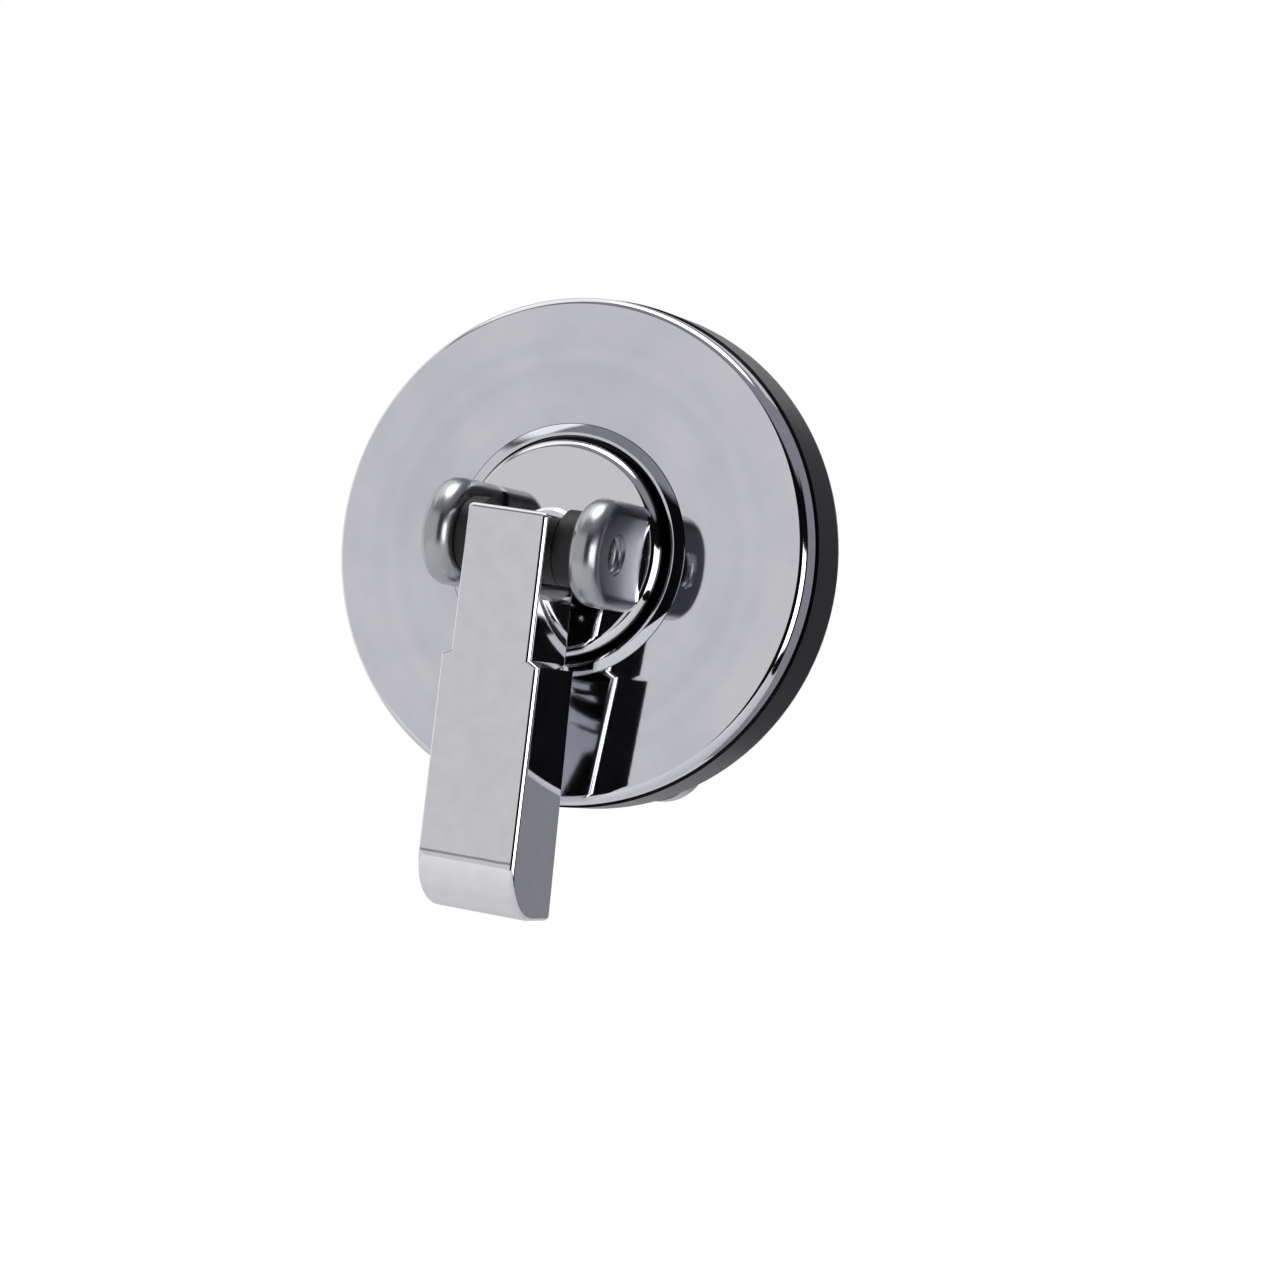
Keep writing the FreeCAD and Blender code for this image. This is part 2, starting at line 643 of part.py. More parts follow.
# Pawl: cranked flat bar, rounded at both ends, on the spindle's square
def make_pawl():
    made = new_body("pawl", PAWL_SEAT)
    side = new_sketch(made, "YZ_Plane", "pawl_profile")
    slope = "((crank_end - crank_start) * pawl_depth / pawl_crank)"
    outline(side, [
        ("0", "pawl_hub_radius"), ("0", "-crank_start"), ("-pawl_crank", "-crank_end"),
        ("-pawl_crank", "-pawl_length"), ("pawl_depth - pawl_crank", "-pawl_length"),
        ("pawl_depth - pawl_crank", "-crank_end"), ("pawl_depth", "-crank_start"),
        ("pawl_depth", "pawl_hub_radius"),
    ])
    feature(made, "Pad", "pawl_bar", side, Midplane=True, Length="pawl_width")

    def corner_at(height):
        def test(edge):
            box = box_of(edge)
            return near(box.ZMin, value_of(height)) and near(box.ZMax, value_of(height)) and \
                near(box.XMin, box.XMax)
        return test
    dress(made, "Fillet", "pawl_tip", corner_at("-pawl_length"), "pawl_tip_radius")
    dress(made, "Fillet", "pawl_hub_end", corner_at("pawl_hub_radius"), "(pawl_width - pawl_end_flat) / 2")
    hole = new_sketch(made, "XZ_Plane", "pawl_hole_profile")
    square(hole, SQUARE_HOLE_HALF)
    feature(made, "Pocket", "pawl_hole", hole, Type="ThroughAll")
    return made


# Lock washer: split spring ring
def make_lock_washer(seat):
    made = new_body("lock_washer", seat)
    section = new_sketch(made, "XZ_Plane", "lock_washer_section")
    circle(section, "lock_washer_radius")
    circle(section, "(stud_radius + screw_gap)")
    feature(made, "Pad", "lock_washer_ring", section, Length="lock_washer_depth", Reversed=True)
    split = new_sketch(made, "XZ_Plane", "split_profile")
    rectangle(split, ("-lock_washer_split / 2", "0"), ("lock_washer_split / 2", "lock_washer_radius + %g" % PAST))
    feature(made, "Pocket", "split", split, Type="ThroughAll")
    return made


lock_washer_seat = PAWL_REAR + " + pawl_washer_depth"
pawl_nut_seat = lock_washer_seat + " + lock_washer_depth"
thrust_inner = "(%s + screw_gap)" % ROSE_BORE
thrust_outer = "(hub_radius - hub_edge_radius / 2)"
friction_outer = "(%s - stop_gap)" % STOP_WALL_INNER

pieces = [
    make_rose_plate(),
    make_gasket(),
    make_barrel(),
    ring("thrust_washer", FACE + " - washer_depth", thrust_inner, thrust_outer, "washer_depth"),
    ring("panel_washer", "panel_depth", "(barrel_radius + screw_gap)", "panel_washer_radius",
         "panel_washer_depth"),
    make_nut("lock_nut", NUT_SEAT, LOCK_NUT_WIDTH, "lock_nut_depth", "(%s + seat_gap)" % THREAD),
    make_turning_hub(),
    make_hinge_pin(),
    make_side_washer("side_washer_left", -1),
    make_side_washer("side_washer_right", 1),
    make_spigot_seal(),
    ring("friction_ring", "barrel_length", "(spigot_radius + screw_gap)", friction_outer,
         "(friction_depth - axial_play)"),
    make_stop_disc(),
    make_spindle(),
    make_spindle_screw(),
    make_pawl(),
    ring("pawl_washer", PAWL_REAR, "(stud_radius + screw_gap)", "pawl_washer_radius",
         "pawl_washer_depth"),
    make_lock_washer(lock_washer_seat),
    make_nut("pawl_nut", pawl_nut_seat, "pawl_nut_width", "pawl_nut_depth", "(stud_radius + seat_gap)"),
    make_lever(),
    make_lever_bush(),
]

doc.recompute()
for item in doc.Objects:
    if "Invalid" in item.State or "Error" in item.State:
        raise RuntimeError("feature failed: " + item.Label)
os.makedirs("parts", exist_ok=True)
for piece in pieces:
    shape = piece.Shape
    if shape.isNull() or not shape.isValid():
        raise RuntimeError("bad shape: " + piece.Label)
    print("%-18s solids %d volume %9.2f mm3" % (piece.Label, len(shape.Solids), shape.Volume))
    shape.exportStep("parts/" + piece.Label + ".step")
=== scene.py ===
import bpy, json, math
from mathutils import Matrix, Vector


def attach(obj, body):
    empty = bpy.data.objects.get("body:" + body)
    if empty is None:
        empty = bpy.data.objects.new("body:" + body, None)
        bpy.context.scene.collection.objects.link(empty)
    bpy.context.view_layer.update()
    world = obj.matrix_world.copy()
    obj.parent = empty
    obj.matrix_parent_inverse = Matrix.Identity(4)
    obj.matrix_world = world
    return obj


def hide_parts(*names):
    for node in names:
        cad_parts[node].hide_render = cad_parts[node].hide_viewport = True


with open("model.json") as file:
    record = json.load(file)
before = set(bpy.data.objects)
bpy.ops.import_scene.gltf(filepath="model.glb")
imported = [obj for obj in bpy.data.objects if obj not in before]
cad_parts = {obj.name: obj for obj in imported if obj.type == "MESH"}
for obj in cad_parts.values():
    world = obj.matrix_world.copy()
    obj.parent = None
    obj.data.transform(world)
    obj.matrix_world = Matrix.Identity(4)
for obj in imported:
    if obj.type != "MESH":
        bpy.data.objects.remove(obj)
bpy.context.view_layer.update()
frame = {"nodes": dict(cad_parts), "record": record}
bpy.ops.object.select_all(action="DESELECT")
scene = bpy.context.scene
scene.view_settings.view_transform = "Standard"
nodes = frame["nodes"]
mm = 0.001


def linear(hexColour):
    # sRGB hex value to the linear values that the shaders work in
    parts = [int(hexColour[i:i + 2], 16) / 255 for i in (1, 3, 5)]
    return [c / 12.92 if c <= 0.04045 else ((c + 0.055) / 1.055) ** 2.4 for c in parts] + [1.0]


def addNode(tree, kind, inputs=None, **settings):
    # One node with its settings; inputs holds plain values or the sockets that feed it
    node = tree.nodes.new(kind)
    for key, setting in settings.items():
        setattr(node, key, setting)
    for key, source in (inputs or {}).items():
        if isinstance(source, bpy.types.NodeSocket):
            tree.links.new(source, node.inputs[key])
        else:
            node.inputs[key].default_value = source
    return node


# Places of a Mix node's sockets, whose names are all alike
share, firstValue, secondValue, firstColour, secondColour, mixedColour = 0, 2, 3, 6, 7, 2
white = (1, 1, 1, 1)

# Camera: the photograph looks from a little right of the front, level, and is rolled
camera = {
    "azimuth": 22.6, "roll": 9.0,
    "distance": 375 * mm,                        # about fifteen plate radii
    "faceCentre": (0, -10.2 * mm, 0),            # middle of the rose plate's face
    "facePixel": (566.5, 550), "picture": 1280, "pixelsPerMm": 10.2,
    "sensorWidth": 36, "nearest": 0.01, "farthest": 20,
}


def addCamera(c):
    turn, roll = math.radians(c["azimuth"]), math.radians(c["roll"])
    back = Vector((math.sin(turn), -math.cos(turn), 0))
    side, up = Vector((math.cos(turn), math.sin(turn), 0)), Vector((0, 0, 1))
    right = math.cos(roll) * side + math.sin(roll) * up
    top = math.cos(roll) * up - math.sin(roll) * side
    across = (c["facePixel"][0] - c["picture"] / 2) / c["pixelsPerMm"] * mm
    above = (c["picture"] / 2 - c["facePixel"][1]) / c["pixelsPerMm"] * mm
    place = Vector(c["faceCentre"]) - across * right - above * top + c["distance"] * back
    data = bpy.data.cameras.new("photoCamera")
    data.sensor_width = c["sensorWidth"]
    data.lens = c["pixelsPerMm"] / mm * c["distance"] / c["picture"] * c["sensorWidth"]
    data.clip_start, data.clip_end = c["nearest"], c["farthest"]
    made = bpy.data.objects.new("photoCamera", data)
    scene.collection.objects.link(made)
    made.matrix_world = Matrix.Translation(place) @ Matrix((right, top, back)).transposed().to_4x4()
    scene.camera = made


addCamera(camera)
print("camera set")

# Studio: a dark room with soft boxes, as the chrome mirrors it. Azimuth 0 is the side the clasp
# faces, 90 its right-hand side. Each box: azimuth, elevation, half its width and height, all in
# degrees, how softly it ends, its sRGB grey and how many times as bright as paper it is.
studio = {
    "room": "#0B0B0E",
    "boxes": {
        "greyWall": (-48, -3, 48, 31, 6, "#CBCBCE", 1.0),
        "leftPaper": (-118, 0, 22, 50, 10, "#EDEDF0", 1.0),
        "backRight": (158, 0, 34, 40, 12, "#82828A", 1.0),
        "backLeft": (-166, 0, 26, 40, 12, "#C8C8CC", 1.0),
        "rightStrip": (69, -4, 21, 13, 4, "#FFFFFF", 3.0),
        "highFront": (0, 52, 200, 14, 8, "#84848B", 1.0),
        "upperLeft": (-102, 56, 46, 15, 8, "#FFFFFF", 1.0),
        "ceiling": (0, 90, 200, 19, 6, "#FFFFFF", 3.0),
    },
}


def addStudio(s):
    world = bpy.data.worlds.new("studio")
    scene.world = world
    world.use_nodes = True
    tree = world.node_tree
    tree.nodes.clear()
    place = addNode(tree, "ShaderNodeTexCoord")
    split = addNode(tree, "ShaderNodeSeparateXYZ", {"Vector": place.outputs["Generated"]})
    front = addNode(tree, "ShaderNodeMath", {0: split.outputs["Y"], 1: -1.0}, operation="MULTIPLY")
    around = addNode(tree, "ShaderNodeMath", {0: split.outputs["X"], 1: front.outputs[0]},
                     operation="ARCTAN2")
    height = addNode(tree, "ShaderNodeMath", {0: split.outputs["Z"]}, operation="ARCSINE")
    colour = linear(s["room"])
    for azimuth, elevation, width, tall, soft, grey, power in s["boxes"].values():
        sides = []
        for angle, middle, half in ((around, azimuth, width), (height, elevation, tall)):
            away = addNode(tree, "ShaderNodeMath", {0: angle.outputs[0], 1: math.radians(middle)},
                           operation="SUBTRACT")
            size = addNode(tree, "ShaderNodeMath", {0: away.outputs[0]}, operation="ABSOLUTE")
            sides.append(addNode(tree, "ShaderNodeMapRange", {
                "Value": size.outputs[0], "From Min": math.radians(half),
                "From Max": math.radians(half + soft), "To Min": 1.0, "To Max": 0.0},
                interpolation_type="SMOOTHSTEP"))
        amount = addNode(tree, "ShaderNodeMath", {0: sides[0].outputs[0], 1: sides[1].outputs[0]},
                         operation="MULTIPLY")
        shine = [channel * power for channel in linear(grey)]
        mix = addNode(tree, "ShaderNodeMix", {
            share: amount.outputs[0], firstColour: colour, secondColour: shine}, data_type="RGBA")
        colour = mix.outputs[mixedColour]
    light = addNode(tree, "ShaderNodeBackground", {"Color": colour})
    paper = addNode(tree, "ShaderNodeBackground", {"Color": white})
    path = addNode(tree, "ShaderNodeLightPath")
    seen = addNode(tree, "ShaderNodeMixShader", {
        0: path.outputs["Is Camera Ray"], 1: light.outputs[0], 2: paper.outputs[0]})
    addNode(tree, "ShaderNodeOutputWorld", {"Surface": seen.outputs[0]})


addStudio(studio)

# Key light: the studio's boxes make the highlights, so this one only makes the soft shadow
keyLight = {"place": (-0.30, -0.55, 0.55), "size": 0.45, "watts": 6.0}


def addKeyLight(k):
    data = bpy.data.lights.new("keyLight", "AREA")
    data.shape, data.size, data.energy = "DISK", k["size"], k["watts"]
    made = bpy.data.objects.new("keyLight", data)
    made.location = k["place"]
    made.rotation_euler = (-Vector(k["place"])).to_track_quat("-Z", "Y").to_euler()
    made.visible_glossy = False
    scene.collection.objects.link(made)


addKeyLight(keyLight)

# Floor: white paper well below the clasp, that fades into the white background
floor = {
    "size": 0.6, "height": -0.16, "colour": "#BDBDBF",
    "glow": 0.75,                                # how much of it is plain white near its middle
    "fadeFrom": 0.06, "fadeTo": 0.288,
}


def addFloor(f):
    bpy.ops.mesh.primitive_plane_add(size=f["size"], location=(0, 0, f["height"]))
    made = bpy.context.object
    made.name = "floor"
    material = bpy.data.materials.new("whitePaperFloor")    # matt paper, takes a faint shadow
    material.use_nodes = True
    tree = material.node_tree
    tree.nodes.clear()
    paper = addNode(tree, "ShaderNodeBsdfDiffuse", {"Color": linear(f["colour"])})
    glow = addNode(tree, "ShaderNodeEmission", {"Color": white})
    path = addNode(tree, "ShaderNodeLightPath")
    place = addNode(tree, "ShaderNodeTexCoord")
    spread = addNode(tree, "ShaderNodeVectorMath", {0: place.outputs["Object"]}, operation="LENGTH")
    fade = addNode(tree, "ShaderNodeMapRange", {
        "Value": spread.outputs["Value"], "From Min": f["fadeFrom"], "From Max": f["fadeTo"],
        "To Min": f["glow"], "To Max": 1.0})
    amount = addNode(tree, "ShaderNodeMath", {0: path.outputs["Is Camera Ray"], 1: fade.outputs[0]},
                     operation="MULTIPLY")
    seen = addNode(tree, "ShaderNodeMixShader", {
        0: amount.outputs[0], 1: paper.outputs[0], 2: glow.outputs[0]})
    addNode(tree, "ShaderNodeOutputMaterial", {"Surface": seen.outputs[0]})
    made.data.materials.append(material)


addFloor(floor)
print("studio and floor set")

# Making pieces
joinGap = 0.002 * mm      # points nearer than this are one
smoothAngle = 32          # flatter edges than this are shaded smooth, degrees


def turnedPiece(name, outline, steps, sweep=360.0, start=0.0, closed=True):
    # A profile drawn point by point in the plane of radius and barrel axis, in mm, and spun
    # round the axis
    bpy.ops.object.select_all(action="DESELECT")
    bpy.ops.mesh.primitive_plane_add(size=mm, location=(0, 0, 0))
    piece = bpy.context.object
    piece.name = name
    bpy.ops.object.mode_set(mode="EDIT")
    bpy.ops.mesh.select_all(action="SELECT")
    bpy.ops.mesh.merge(type="CENTER")
    here = Vector((0, 0, 0))
    turn = Matrix.Rotation(math.radians(start), 3, "Y")
    for number, (radius, along) in enumerate(outline + outline[:1] * closed):
        place = turn @ Vector((radius * mm, along * mm, 0))
        if number == 0:
            bpy.ops.transform.translate(value=place - here)
        else:
            bpy.ops.mesh.extrude_region_move(TRANSFORM_OT_translate={"value": place - here})
        here = place
    bpy.ops.mesh.select_all(action="SELECT")
    bpy.ops.mesh.remove_doubles(threshold=joinGap)
    if sweep < 360:
        bpy.ops.mesh.edge_face_add()
    bpy.ops.mesh.spin(steps=steps, angle=math.radians(sweep), center=(0, 0, 0), axis=(0, 1, 0))
    bpy.ops.mesh.select_all(action="SELECT")
    bpy.ops.mesh.remove_doubles(threshold=joinGap)
    bpy.ops.mesh.normals_make_consistent(inside=False)
    bpy.ops.object.mode_set(mode="OBJECT")
    return piece


def roundCorner(radius, along, size, fromAngle, toAngle, count=8):
    # Points of a rounded edge about its centre, in mm
    points = []
    for number in range(count + 1):
        angle = math.radians(fromAngle + (toAngle - fromAngle) * number / count)
        points.append((radius + size * math.cos(angle), along + size * math.sin(angle)))
    return points


def joinPieces(name, pieces):
    # The first piece takes in the others
    bpy.ops.object.select_all(action="DESELECT")
    for piece in pieces:
        piece.select_set(True)
    bpy.context.view_layer.objects.active = pieces[0]
    bpy.ops.object.join()
    pieces[0].name = name
    return pieces[0]


def finishPiece(piece, body, slotName, replacedNode):
    bpy.ops.object.select_all(action="DESELECT")
    piece.select_set(True)
    bpy.context.view_layer.objects.active = piece
    bpy.ops.object.transform_apply(location=True, rotation=True, scale=True)
    bpy.ops.object.shade_smooth_by_angle(angle=math.radians(smoothAngle))
    piece.data.materials.clear()
    piece.data.materials.append(finishes[slotName])
    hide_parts(replacedNode)
    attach(piece, body)
    piece.select_set(False)


# Materials. Pattern sizes are in mm; rough gives the roughness at the two ends of a pattern.

def newMaterial(name, inputs):
    material = bpy.data.materials.new(name)
    material.use_nodes = True
    tree = material.node_tree
    shader = tree.nodes["Principled BSDF"]
    for key, setting in inputs.items():
        shader.inputs[key].default_value = setting
    return material, tree, shader


def axisRadius(tree):
    # Distance from the turning axis
    place = addNode(tree, "ShaderNodeTexCoord")
    flat = addNode(tree, "ShaderNodeVectorMath", {0: place.outputs["Object"], 1: (1, 0, 1)},
                   operation="MULTIPLY")
    return addNode(tree, "ShaderNodeVectorMath", {0: flat.outputs[0]}, operation="LENGTH").outputs["Value"]


# Bright chromium plate over a polished casting: a cold, near-white mirror, with faint smears of
# hand polish and a trace of orange peel that break up its highlights
chrome = {
    # the dark second colour is painted shade, for the groove round the hub and the hub's wall
    "colour": "#F2F2F4", "paintedShade": "#1C1C20",
    "smearSize": 9.0,
    "peelSize": 0.35, "peelStrength": 0.012, "peelDepth": 0.05,
}


def makeChrome(name, rough, c):
    material, tree, shader = newMaterial(name, {"Base Color": linear(c["colour"]), "Metallic": 1.0})
    place = addNode(tree, "ShaderNodeTexCoord").outputs["Object"]
    smear = addNode(tree, "ShaderNodeTexNoise", {
        "Vector": place, "Scale": 1 / (c["smearSize"] * mm), "Detail": 3.0})
    dull = addNode(tree, "ShaderNodeMapRange", {
        "Value": smear.outputs[0], "To Min": rough[0], "To Max": rough[1]})
    tree.links.new(dull.outputs[0], shader.inputs["Roughness"])
    peel = addNode(tree, "ShaderNodeTexNoise", {
        "Vector": place, "Scale": 1 / (c["peelSize"] * mm), "Detail": 1.0})
    bump = addNode(tree, "ShaderNodeBump", {
        "Height": peel.outputs[0], "Strength": c["peelStrength"], "Distance": c["peelDepth"] * mm})
    tree.links.new(bump.outputs[0], shader.inputs["Normal"])
    return material


# The disc was buffed turning: broad faint rings of haze about its axis, clouded by hand, with
# painted shade in the groove round the hub and a painted dark line for the shade at the foot of its collar
plateChrome = {
    "rough": (0.02, 0.07),
    "hazeSize": 5.0, "cloudSize": 6.0, "haze": "#E0E2E8", "hazeFrom": 0.7, "hazeTo": 1.3,
    "shadeFrom": 11.17, "shadeTo": 11.25,
    "footRadius": 12.47, "footHalf": 0.04, "footShadeColour": "#6A6B74",
}


def makePlateChrome(name, p):
    material = makeChrome(name, p["rough"], chrome)
    tree = material.node_tree
    place, radius = addNode(tree, "ShaderNodeTexCoord").outputs["Object"], axisRadius(tree)
    rings = addNode(tree, "ShaderNodeTexNoise", {
        "W": radius, "Scale": 1 / (p["hazeSize"] * mm), "Detail": 2.0}, noise_dimensions="1D")
    cloud = addNode(tree, "ShaderNodeTexNoise", {
        "Vector": place, "Scale": 1 / (p["cloudSize"] * mm), "Detail": 3.0})
    both = addNode(tree, "ShaderNodeMath", {0: rings.outputs[0], 1: cloud.outputs[0]}, operation="ADD")
    clean = addNode(tree, "ShaderNodeMapRange", {
        "Value": both.outputs[0], "From Min": p["hazeFrom"], "From Max": p["hazeTo"]})
    hazed = addNode(tree, "ShaderNodeMix", {
        share: clean.outputs[0], firstColour: linear(p["haze"]),
        secondColour: linear(chrome["colour"])}, data_type="RGBA")
    # Painted shade: inside the groove round the hub the plate is painted the dark colour
    outside = addNode(tree, "ShaderNodeMapRange", {
        "Value": radius, "From Min": p["shadeFrom"] * mm, "From Max": p["shadeTo"] * mm})
    shaded = addNode(tree, "ShaderNodeMix", {
        share: outside.outputs[0], firstColour: linear(chrome["paintedShade"]),
        secondColour: hazed.outputs[mixedColour]}, data_type="RGBA")
    # Painted shade: a thin dark ring at the collar's foot stands for the shade in that corner
    foot = addNode(tree, "ShaderNodeMath", {0: radius, 1: p["footRadius"] * mm, 2: p["footHalf"] * mm},
                   operation="COMPARE")
    lined = addNode(tree, "ShaderNodeMix", {
        share: foot.outputs[0], firstColour: shaded.outputs[mixedColour],
        secondColour: linear(p["footShadeColour"])}, data_type="RGBA")
    tree.links.new(lined.outputs[mixedColour], tree.nodes["Principled BSDF"].inputs["Base Color"])
    return material


# The lever, with a thin wavering dark line painted as the shade of the crease where its flat front
# meets the rounded tip, and a little grey in the polish
leverChrome = {
    "rough": (0.03, 0.08),
    "lineHeight": -30.38, "waver": 0.25, "waverSize": 2.0,
    "lineFrom": 0.06, "lineTo": 0.17, "creaseShade": 0.45,
    "frontHalf": 4.9, "frontDepth": -21.4,       # the line stays on the flat of the front
    "speckSize": 1.6, "speckFrom": 0.35, "speckTo": 0.65, "speckDark": 0.95,
}


def makeLeverChrome(name, p):
    material = makeChrome(name, p["rough"], chrome)
    tree = material.node_tree
    place = addNode(tree, "ShaderNodeTexCoord").outputs["Object"]
    split = addNode(tree, "ShaderNodeSeparateXYZ", {"Vector": place})
    waver = addNode(tree, "ShaderNodeTexNoise", {"Vector": place, "Scale": 1 / (p["waverSize"] * mm)})
    # Painted shade: a thin dark line across the front at the crease above the rounded tip
    height = addNode(tree, "ShaderNodeMath", {
        0: waver.outputs[0], 1: p["waver"] * mm, 2: split.outputs["Z"]}, operation="MULTIPLY_ADD")
    away = addNode(tree, "ShaderNodeMath", {0: height.outputs[0], 1: p["lineHeight"] * mm},
                   operation="SUBTRACT")
    off = addNode(tree, "ShaderNodeMath", {0: away.outputs[0]}, operation="ABSOLUTE")
    clear = addNode(tree, "ShaderNodeMapRange", {
        "Value": off.outputs[0], "From Min": p["lineFrom"] * mm, "From Max": p["lineTo"] * mm})
    across = addNode(tree, "ShaderNodeMath", {0: split.outputs["X"]}, operation="ABSOLUTE")
    side = addNode(tree, "ShaderNodeMath", {0: across.outputs[0], 1: p["frontHalf"] * mm},
                   operation="GREATER_THAN")
    behind = addNode(tree, "ShaderNodeMath", {0: split.outputs["Y"], 1: p["frontDepth"] * mm},
                     operation="GREATER_THAN")
    other = addNode(tree, "ShaderNodeMath", {0: side.outputs[0], 1: behind.outputs[0]},
                    operation="MAXIMUM")
    kept = addNode(tree, "ShaderNodeMath", {0: clear.outputs[0], 1: other.outputs[0]},
                   operation="MAXIMUM")
    lined = addNode(tree, "ShaderNodeMapRange", {"Value": kept.outputs[0], "To Min": p["creaseShade"]})
    speck = addNode(tree, "ShaderNodeTexNoise", {
        "Vector": place, "Scale": 1 / (p["speckSize"] * mm), "Detail": 6.0})
    grey = addNode(tree, "ShaderNodeMapRange", {
        "Value": speck.outputs[0], "From Min": p["speckFrom"], "From Max": p["speckTo"],
        "To Min": p["speckDark"], "To Max": 1.0})
    level = addNode(tree, "ShaderNodeMath", {0: lined.outputs[0], 1: grey.outputs[0]},
                    operation="MULTIPLY")
    shade = addNode(tree, "ShaderNodeMix", {
        share: level.outputs[0], firstColour: linear("#000000"),
        secondColour: linear(chrome["colour"])}, data_type="RGBA")
    tree.links.new(shade.outputs[mixedColour], tree.nodes["Principled BSDF"].inputs["Base Color"])
    return material


# The same plate on the cast ears, which are only tumbled before plating: a satin there, duller
# on their outer sides, whose darker blue-grey tint is painted shade, and a mirror on the turned
# flange, whose wall is painted dark as a painted reflection of the dark room
hubChrome = {
    "rough": (0.02, 0.07),
    "earFrom": -13.0, "earTo": -13.6, "earRough": 0.27, "earTint": "#B8BABC",
    "sideFrom": 8.8, "sideTo": 9.3, "sideRough": 0.3, "sideShadeTint": "#92949E",
    "wallFrom": 10.57, "wallTo": 10.65,
}


def makeHubChrome(name, p):
    material = makeChrome(name, p["rough"], chrome)
    tree = material.node_tree
    shader = tree.nodes["Principled BSDF"]
    smooth = shader.inputs["Roughness"].links[0].from_socket
    place = addNode(tree, "ShaderNodeTexCoord").outputs["Object"]
    split = addNode(tree, "ShaderNodeSeparateXYZ", {"Vector": place})
    ear = addNode(tree, "ShaderNodeMapRange", {
        "Value": split.outputs["Y"], "From Min": p["earFrom"] * mm, "From Max": p["earTo"] * mm})
    across = addNode(tree, "ShaderNodeMath", {0: split.outputs["X"]}, operation="ABSOLUTE")
    side = addNode(tree, "ShaderNodeMapRange", {
        "Value": across.outputs[0], "From Min": p["sideFrom"] * mm, "From Max": p["sideTo"] * mm})
    cast = addNode(tree, "ShaderNodeMapRange", {
        "Value": side.outputs[0], "To Min": p["earRough"], "To Max": p["sideRough"]})
    satin = addNode(tree, "ShaderNodeMix", {
        share: ear.outputs[0], firstValue: smooth, secondValue: cast.outputs[0]})
    tree.links.new(satin.outputs[0], shader.inputs["Roughness"])
    # Painted shade: the ears' outer sides are tinted a darker blue-grey than their fronts
    dull = addNode(tree, "ShaderNodeMix", {
        share: side.outputs[0], firstColour: linear(p["earTint"]),
        secondColour: linear(p["sideShadeTint"])}, data_type="RGBA")
    tint = addNode(tree, "ShaderNodeMix", {
        share: ear.outputs[0], firstColour: linear(chrome["colour"]),
        secondColour: dull.outputs[mixedColour]}, data_type="RGBA")
    # Painted reflection: the flange's wall is painted dark, as the dark room it mirrors
    wall = addNode(tree, "ShaderNodeMapRange", {
        "Value": axisRadius(tree), "From Min": p["wallFrom"] * mm, "From Max": p["wallTo"] * mm})
    dark = addNode(tree, "ShaderNodeMix", {
        share: wall.outputs[0], firstColour: tint.outputs[mixedColour],
        secondColour: linear(chrome["paintedShade"])}, data_type="RGBA")
    tree.links.new(dark.outputs[mixedColour], shader.inputs["Base Color"])
    return material


# Moulded rubber: black with an even soft sheen, the fine grain of its mould and a few pale specks,
# under 1 mm, that are painted highlights for small glints
rubber = {
    "ior": 1.28,
    "grainSize": 0.8, "smoother": 0.06, "rougher": 0.08, "grainStrength": 0.04, "grainDepth": 0.05,
    "glintSize": 2.2, "glintFrom": 0.66, "glintTo": 0.74, "glintColour": "#6C6C70",
}


def makeRubber(name, colour, rough, p):
    material, tree, shader = newMaterial(name, {"IOR": p["ior"]})
    place = addNode(tree, "ShaderNodeTexCoord").outputs["Object"]
    grain = addNode(tree, "ShaderNodeTexNoise", {
        "Vector": place, "Scale": 1 / (p["grainSize"] * mm), "Detail": 4.0})
    dull = addNode(tree, "ShaderNodeMapRange", {
        "Value": grain.outputs[0], "To Min": rough - p["smoother"], "To Max": rough + p["rougher"]})
    tree.links.new(dull.outputs[0], shader.inputs["Roughness"])
    bump = addNode(tree, "ShaderNodeBump", {
        "Height": grain.outputs[0], "Strength": p["grainStrength"], "Distance": p["grainDepth"] * mm})
    tree.links.new(bump.outputs[0], shader.inputs["Normal"])
    # Painted highlight: pale specks in the base colour stand for small glints on the glossy rubber
    glintNoise = addNode(tree, "ShaderNodeTexNoise", {
        "Vector": place, "Scale": 1 / (p["glintSize"] * mm), "Detail": 8.0, "Roughness": 0.7})
    amount = addNode(tree, "ShaderNodeMapRange", {
        "Value": glintNoise.outputs[0], "From Min": p["glintFrom"], "From Max": p["glintTo"]})
    glinted = addNode(tree, "ShaderNodeMix", {
        share: amount.outputs[0], firstColour: linear(colour),
        secondColour: linear(p["glintColour"])}, data_type="RGBA")
    tree.links.new(glinted.outputs[mixedColour], shader.inputs["Base Color"])
    return material


# Turned and pressed steel with bright zinc plate: cloudy and half bright, with a grain that is
# drawn coarser than the real one to show
zinc = {
    "rough": (0.2, 0.38), "cloudSize": 2.5,
    "grainSize": 0.25, "grainStrength": 0.05, "grainDepth": 0.05,
}


